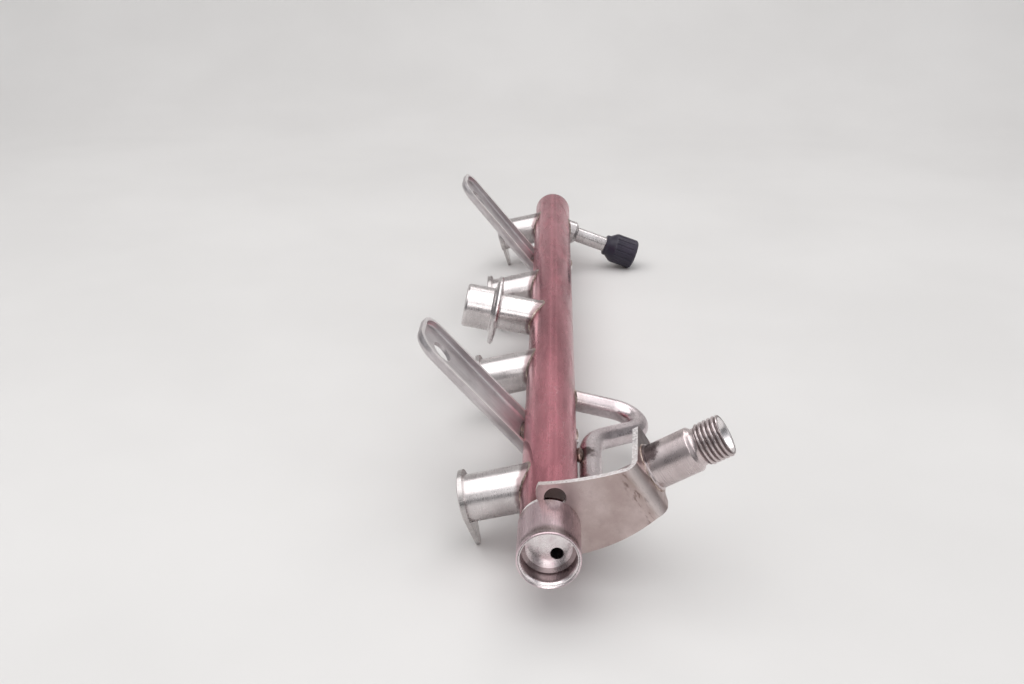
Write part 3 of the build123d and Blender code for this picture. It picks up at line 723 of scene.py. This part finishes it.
for index, y in enumerate(INJECTOR_YS, start=1):
    branch_fillet(f"braze_injector_{index}", y, INJECTOR_OUT, CUP_R, index)
branch_fillet("braze_damper", DAMPER_Y, DAMPER_OUT, CUP_R, 6)
branch_fillet("braze_feed_pipe", PIPE_Y, PIPE_OUT, PIPE_R, 7, 1.0)
branch_fillet("braze_test_port", PORT_Y, PORT_OUT, PORT_R, 8, 1.0)

for name, (y, angle) in STRUTS.items():
    strut_pool(f"braze_{name}", y, angle)

TONGUE_OUT, TONGUE_ROUND = radial(TONGUE_ANGLE), radial(TONGUE_ANGLE - 270)
TONGUE_SIZE = (4.2, 1.1, 0.75)
TACK, TACK_SIZE = Vector((10.3, 69.0, -1.0)), (4.4, 1.8, 1.5)
for index, (name, (y, angle)) in enumerate(STRUTS.items()):
    blob(f"braze_tongue_{name}", TONGUE_OUT * (TUBE_R + 0.5) + ALONG * y, TONGUE_SIZE,
         (ALONG, TONGUE_ROUND, TONGUE_OUT), index + 3, BRAZE)
blob("braze_pipe_tack", TACK, TACK_SIZE, (ALONG, Vector((0, 0, 1)), Vector((1, 0, 0))), 9,
     DARK_BRAZE)

ring_fillet("braze_inlet", INLET, EAR_OUT, COLLAR_R, 0.5, 0.35, 2)
ring_fillet("braze_inlet_back", INLET - EAR_OUT * 2.0, -EAR_OUT, SHANK_R, 0.9, 0.9, 4)


# --- Inlet fitting with its thread -------------------------------------------------------------------
AROUND_FITTING = 96
OUTLINE = [
    (SHANK_FROM, SHANK_R), (0, SHANK_R), (0.001, COLLAR_R - 0.1), (0.1, COLLAR_R), (COLLAR_TO, COLLAR_R),
    (COLLAR_TO + 0.1, COLLAR_R - 0.1), (BODY_FROM, BODY_R), (BODY_TO, BODY_R), (15.0, BODY_R - 0.05),
    (NECK_FROM, NECK_R), (NECK_TO, NECK_R), (THREAD_FROM, THREAD_R), (THREAD_TO, THREAD_R), (TIP, TIP_R),
]
BORE_OUTLINE = [
    (TIP, MOUTH_R), (25.8, 5.38), (THREAD_TO, 5.2), (CONE_FROM, BORE_R), (21.0, BORE_R), (1.5, BORE_R),
    (1.5, PIPE_R), (SHANK_FROM, PIPE_R), (SHANK_FROM, SHANK_R),
]
# Distances at which the outside gets a ring, close together where its radius changes and along the thread.
STATIONS = [
    SHANK_FROM, -3.5, -0.1, 0.0, 0.001, 0.1, 0.4, 0.7, 0.8, 0.95, 1.1, 1.4, *np.linspace(2, 14.6, 13),
    14.85, 14.95, 15.05, 15.6, 16.05, 16.2, 16.7, 17.2, *np.linspace(17.32, 25.84, 112), TIP,
]


def inlet_radius(s, turn):
    """Outside radius of the fitting at a distance from the ear and an angle round it."""
    plain = float(np.interp(s, [station for station, _ in OUTLINE], [radius for _, radius in OUTLINE]))
    if not NECK_TO < s < TIP:
        return plain
    phase = (s / THREAD_PITCH - turn / (2 * math.pi)) % 1.0
    fall = abs(2 * phase - 1)
    cut = THREAD_DEPTH * min(max((fall - CREST) / FLANK, 0.0), 1.0)
    return min(plain, THREAD_R - cut)


def crisp_edges(piece, degrees):
    """Marks as sharp the edges whose faces meet at more than that angle."""
    mesh = piece.data
    limit = math.radians(degrees)
    faces_at = {}
    for polygon in mesh.polygons:
        for key in polygon.edge_keys:
            faces_at.setdefault(key, []).append(polygon.normal.copy())
    for edge in mesh.edges:
        normals = faces_at.get(edge.key, [])
        edge.use_edge_sharp = len(normals) == 2 and normals[0].angle(normals[1], 0.0) > limit


def inlet_fitting():
    """The inlet fitting as one skin, outside and bore, with the thread cut into it."""
    u, w = square_axes(EAR_OUT)
    turns = [2 * math.pi * i / AROUND_FITTING for i in range(AROUND_FITTING)]

    def point(s, turn, radius):
        return INLET + EAR_OUT * s + (u * math.cos(turn) + w * math.sin(turn)) * radius

    rings = [[point(s, turn, inlet_radius(s, turn)) for turn in turns] for s in STATIONS]
    rings += [[point(s, turn, radius) for turn in turns] for s, radius in BORE_OUTLINE]
    piece = add_piece("inlet_fitting_threaded", rings, FITTING)
    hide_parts("inlet_fitting")
    crisp_edges(piece, 35)


inlet_fitting()


# --- Stage, in metres --------------------------------------------------------------------------------
def stage():
    """A pale floor that curves up into a wall behind the rail."""
    low = CAD_BOX[0][2]
    reach, front, back, rise, corner = 2.2, -1.5, 0.95, 1.6, 0.30
    corner_steps = 12
    profile = [(front, 0.0), (back - corner, 0.0)]
    for i in range(1, corner_steps + 1):
        turn = math.radians(90 * i / corner_steps)
        profile.append((back - corner + corner * math.sin(turn), corner - corner * math.cos(turn)))
    profile.append((back, rise))
    verts, faces = [], []
    for y, z in profile:
        verts += [(-reach, y, low + z), (reach, y, low + z)]
    for i in range(len(profile) - 1):
        faces.append((2 * i, 2 * i + 1, 2 * i + 3, 2 * i + 2))
    mesh = bpy.data.meshes.new("floor")
    mesh.from_pydata(verts, [], faces)
    mesh.shade_smooth()
    floor = bpy.data.objects.new("floor", mesh)
    bpy.context.collection.objects.link(floor)
    graph = Graph("pale_backdrop")
    soft = graph.noise(graph.place, 6.0, 3.0)
    graph.feed(graph.mix(graph.ramp(soft, 0.3, 0.7), (0.66, 0.65, 0.64), (0.70, 0.69, 0.68)),
               graph.shader.inputs["Base Color"])
    graph.shader.inputs["Roughness"].default_value = 0.75
    floor.data.materials.append(graph.material)


def area_light(name, place, target, size, power, colour):
    """A rectangular lamp that faces a target."""
    data = bpy.data.lights.new(name, "AREA")
    data.shape = "RECTANGLE"
    data.size, data.size_y = size
    data.energy = power
    data.color = colour
    lamp = bpy.data.objects.new(name, data)
    bpy.context.collection.objects.link(lamp)
    lamp.location = place
    lamp.rotation_euler = (Vector(target) - Vector(place)).to_track_quat("-Z", "Y").to_euler()


def lights():
    area_light("ceiling", place=(-0.2, -0.15, 0.95), target=(-0.2, -0.149, 0.0), size=(1.3, 1.6),
               power=10.8, colour=(1.0, 0.99, 0.98))
    area_light("side", place=(0.95, -0.1, 0.5), target=(0, 0.15, 0), size=(0.5, 0.5),
               power=0.8, colour=(0.98, 0.99, 1.0))
    area_light("front", place=(0.05, -1.45, 0.80), target=(0, 0.1, 0), size=(0.9, 0.42),
               power=3.2, colour=(1.0, 0.98, 0.97))
    area_light("back", place=(0.30, 0.84, 0.85), target=(0.02, 0.35, 0.0), size=(0.7, 0.22),
               power=1.6, colour=(1.0, 0.98, 0.98))


# The surroundings brighten from the lower to the upper limit of the generated Z coordinate.
SKY_FROM, SKY_TO = 0.25, 0.85
SKY_LOW, SKY_HIGH = 0.18, 0.62
SKY_COLOUR = (0.86, 0.87, 0.90, 1.0)


def surroundings():
    world = bpy.data.worlds.new("studio")
    bpy.context.scene.world = world
    world.use_nodes = True
    nodes, links = world.node_tree.nodes, world.node_tree.links
    split = nodes.new("ShaderNodeSeparateXYZ")
    links.new(nodes.new("ShaderNodeTexCoord").outputs["Generated"], split.inputs[0])
    shade = nodes.new("ShaderNodeMapRange")
    shade.interpolation_type = "SMOOTHSTEP"
    for value, socket in zip((SKY_FROM, SKY_TO, SKY_LOW, SKY_HIGH), list(shade.inputs)[1:5]):
        socket.default_value = value
    links.new(split.outputs[2], shade.inputs[0])
    links.new(shade.outputs[0], nodes["Background"].inputs["Strength"])
    nodes["Background"].inputs["Color"].default_value = SKY_COLOUR


# --- Camera ------------------------------------------------------------------------------------------
FOCAL_PX, PICTURE_WIDTH_PX = 1200.05, 1024
SENSOR_WIDTH = 36.0
CAMERA_PLACE = Vector((-0.465, -305.004, 199.189))
CAMERA_DOWN, CAMERA_LEFT = 22.8124, 1.9736


def camera():
    data = bpy.data.cameras.new("view")
    data.sensor_width = SENSOR_WIDTH
    data.lens = FOCAL_PX / PICTURE_WIDTH_PX * SENSOR_WIDTH
    data.clip_start, data.clip_end = 0.01, 20.0
    seen = bpy.data.objects.new("view", data)
    bpy.context.collection.objects.link(seen)
    seen.location = CAMERA_PLACE * MM
    seen.rotation_euler = (math.radians(90 - CAMERA_DOWN), 0.0, math.radians(CAMERA_LEFT))
    bpy.context.scene.camera = seen


stage()
lights()
surroundings()
camera()
bpy.context.scene.view_settings.view_transform = "Standard"
